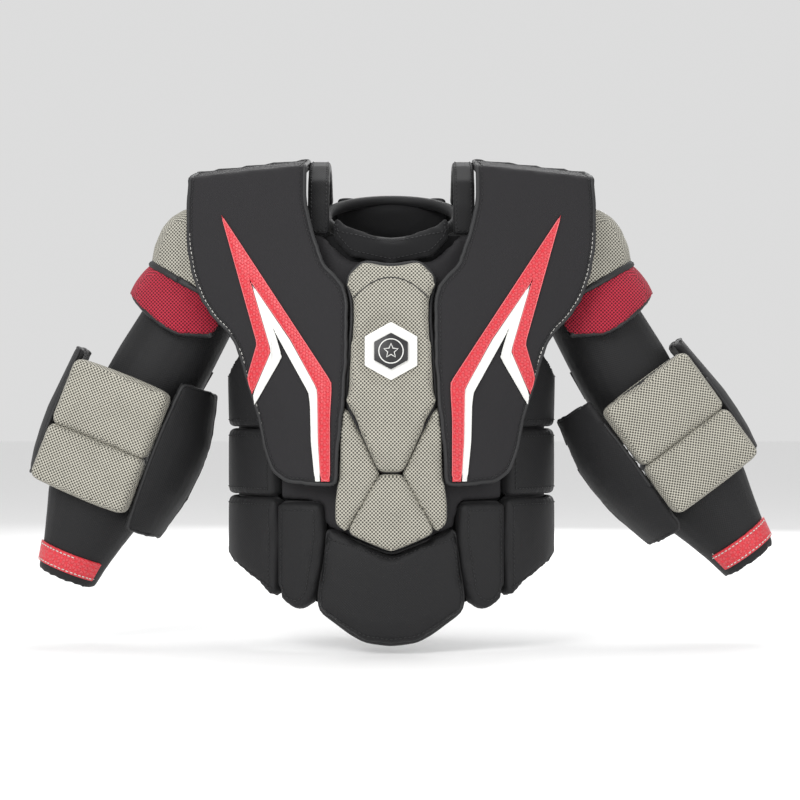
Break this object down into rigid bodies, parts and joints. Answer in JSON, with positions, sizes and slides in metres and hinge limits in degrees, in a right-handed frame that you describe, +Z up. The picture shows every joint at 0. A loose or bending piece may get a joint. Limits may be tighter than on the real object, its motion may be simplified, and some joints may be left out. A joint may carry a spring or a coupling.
{
  "type": "hockey goalkeeper chest and arm protector",
  "caption": "Padded chest-and-arm protector with chest flaps, breastbone pads, belly and side blocks, shoulder caps, hinged arms with elbow guards, back yoke and side buckles.",
  "frame": {"origin": "on the wearer's shoulder line at the middle of the body, where the shoulders carry the protector", "axes": "+Z up, front of the protector faces -Y, wearer's left side is +X, metres"},
  "size_m": [0.9569, 0.2752, 0.6115],
  "materials": {
    "liner": "black brushed lining",
    "knit": "black woven knit shell",
    "nylon": "black smooth nylon over foam",
    "grey_mesh": "warm grey spacer mesh",
    "red_mesh": "dark red spacer mesh",
    "red_vinyl": "embossed red vinyl",
    "white_vinyl": "smooth white vinyl",
    "plastic": "black moulded plastic",
    "webbing": "black woven webbing"
  },
  "bodies": {
    "torso": {"vest_liner": "liner", "chest_panel": "knit", "belly_pad": "nylon", "collar_front": "liner", "sternum_upper": "grey_mesh", "sternum_lower": "grey_mesh", "badge_plate": "white_vinyl", "badge_core": "plastic", "back_yoke": "nylon", "collar_back": "liner", "spine_pad": "nylon", "left_rib_upper": "nylon", "left_rib_lower": "nylon", "left_hip_block": "nylon", "left_waist_block": "nylon", "left_sternum_side": "grey_mesh", "left_yoke_strap": "nylon", "left_side_strap": "webbing", "left_buckle_socket": "plastic", "left_arm_hanger": "nylon", "right_rib_upper": "nylon", "right_rib_lower": "nylon", "right_hip_block": "nylon", "right_waist_block": "nylon", "right_sternum_side": "grey_mesh", "right_yoke_strap": "nylon", "right_side_strap": "webbing", "right_buckle_socket": "plastic", "right_arm_hanger": "nylon"},
    "left_flap": {"left_chest_flap": "knit", "left_red_chevron": "red_vinyl", "left_white_chevron": "white_vinyl"},
    "left_cap": {"left_shoulder_cap": "grey_mesh", "left_deltoid_cap": "red_mesh"},
    "left_arm": {"left_upper_arm_shell": "nylon", "left_upper_arm_strap": "webbing", "left_shoulder_toggle": "plastic"},
    "left_forearm": {"left_elbow_guard_upper": "grey_mesh", "left_elbow_guard_lower": "grey_mesh", "left_inner_wing": "nylon", "left_outer_wing": "nylon", "left_forearm_shell": "nylon"},
    "left_tab": {"left_wrist_tab": "red_vinyl"},
    "left_insert": {"left_buckle_insert": "plastic"},
    "right_flap": {"right_chest_flap": "knit", "right_red_chevron": "red_vinyl", "right_white_chevron": "white_vinyl"},
    "right_cap": {"right_shoulder_cap": "grey_mesh", "right_deltoid_cap": "red_mesh"},
    "right_arm": {"right_upper_arm_shell": "nylon", "right_upper_arm_strap": "webbing", "right_shoulder_toggle": "plastic"},
    "right_forearm": {"right_elbow_guard_upper": "grey_mesh", "right_elbow_guard_lower": "grey_mesh", "right_inner_wing": "nylon", "right_outer_wing": "nylon", "right_forearm_shell": "nylon"},
    "right_tab": {"right_wrist_tab": "red_vinyl"},
    "right_insert": {"right_buckle_insert": "plastic"}
  },
  "joints": [
    {"name": "left_flap_lift", "type": "hinge", "parent": "torso", "child": "left_flap", "pos_m": [0.178, 0.012, 0.031], "axis": [-1, 0, 0], "range_deg": [0, 25]},
    {"name": "left_arm_raise", "type": "hinge", "parent": "torso", "child": "left_arm", "pos_m": [0.219, 0, -0.091], "axis": [0, -1, 0], "range_deg": [0, 40]},
    {"name": "left_cap_lift", "type": "hinge", "parent": "torso", "child": "left_cap", "pos_m": [0.219, 0, -0.091], "axis": [0, -1, 0], "range_deg": [0, 34]},
    {"name": "left_elbow_bend", "type": "hinge", "parent": "left_arm", "child": "left_forearm", "pos_m": [0.3498, 0, -0.32032], "axis": [0.7883, 0.225, 0.5727], "range_deg": [0, 75]},
    {"name": "left_wrist_tab_open", "type": "hinge", "parent": "left_forearm", "child": "left_tab", "pos_m": [0.41897, -0.02585, -0.47834], "axis": [0.5878, 0, -0.809], "range_deg": [0, 80]},
    {"name": "left_buckle_slide", "type": "slide", "parent": "torso", "child": "left_insert", "axis": [-0.5736, 0.8192, 0], "range_m": [0, 0.014]},
    {"name": "right_flap_lift", "type": "hinge", "parent": "torso", "child": "right_flap", "pos_m": [-0.178, 0.012, 0.031], "axis": [-1, 0, 0], "range_deg": [0, 25]},
    {"name": "right_arm_raise", "type": "hinge", "parent": "torso", "child": "right_arm", "pos_m": [-0.219, 0, -0.091], "axis": [0, 1, 0], "range_deg": [0, 40]},
    {"name": "right_cap_lift", "type": "hinge", "parent": "torso", "child": "right_cap", "pos_m": [-0.219, 0, -0.091], "axis": [0, 1, 0], "range_deg": [0, 34]},
    {"name": "right_elbow_bend", "type": "hinge", "parent": "right_arm", "child": "right_forearm", "pos_m": [-0.3498, 0, -0.32032], "axis": [0.9066, -0.225, -0.3571], "range_deg": [0, 75]},
    {"name": "right_wrist_tab_open", "type": "hinge", "parent": "right_forearm", "child": "right_tab", "pos_m": [-0.3772, -0.02585, -0.49063], "axis": [0.3665, 0, 0.9304], "range_deg": [0, 80]},
    {"name": "right_buckle_slide", "type": "slide", "parent": "torso", "child": "right_insert", "axis": [0.5736, 0.8192, 0], "range_m": [0, 0.014]}
  ],
  "couplings": [
    {"joint": "left_cap_lift", "follows": "left_arm_raise", "ratio": 0.85},
    {"joint": "right_cap_lift", "follows": "right_arm_raise", "ratio": 0.85}
  ]
}
